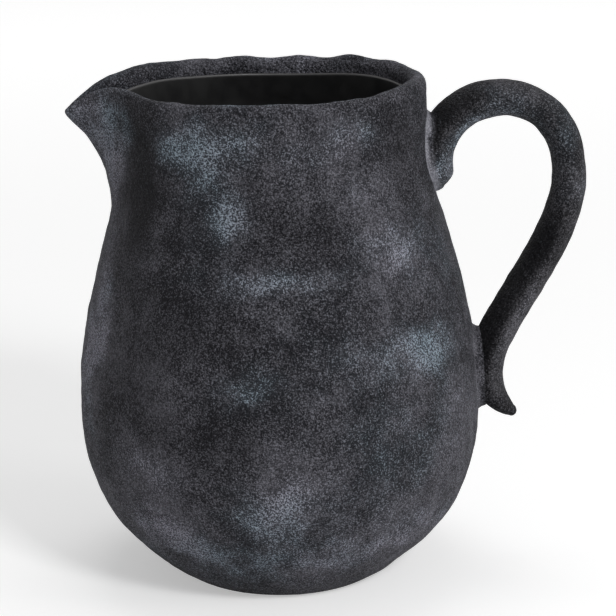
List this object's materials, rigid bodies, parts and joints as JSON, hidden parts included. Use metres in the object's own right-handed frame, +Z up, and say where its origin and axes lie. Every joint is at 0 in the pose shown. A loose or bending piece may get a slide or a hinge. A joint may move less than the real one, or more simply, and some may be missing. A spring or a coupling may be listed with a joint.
{
  "type": "pouring jug",
  "caption": "Hand-built dark stoneware jug with a round belly, a pulled pouring lip and an arched strap handle with a flicked tail.",
  "frame": {"origin": "centre of the foot's flat face, on the jug's axis", "axes": "+Z up along the jug's axis; the pouring lip points to -X and the handle stands on the +X side, so X is the pouring plane and Y the width"},
  "size_m": [0.2562, 0.2008, 0.2522],
  "materials": {
    "dark_stoneware": "dry charcoal stoneware with a leathery grain and a pale speckled bloom",
    "black_glaze": "smooth satin black glaze",
    "pale_slip": "dry pale grey-blue slip"
  },
  "bodies": {
    "root": {"vessel_wall": "dark_stoneware", "base_slab": "dark_stoneware", "glaze_liner": "black_glaze", "handle": "dark_stoneware", "upper_luting": "pale_slip", "lower_luting": "pale_slip"}
  },
  "joints": []
}
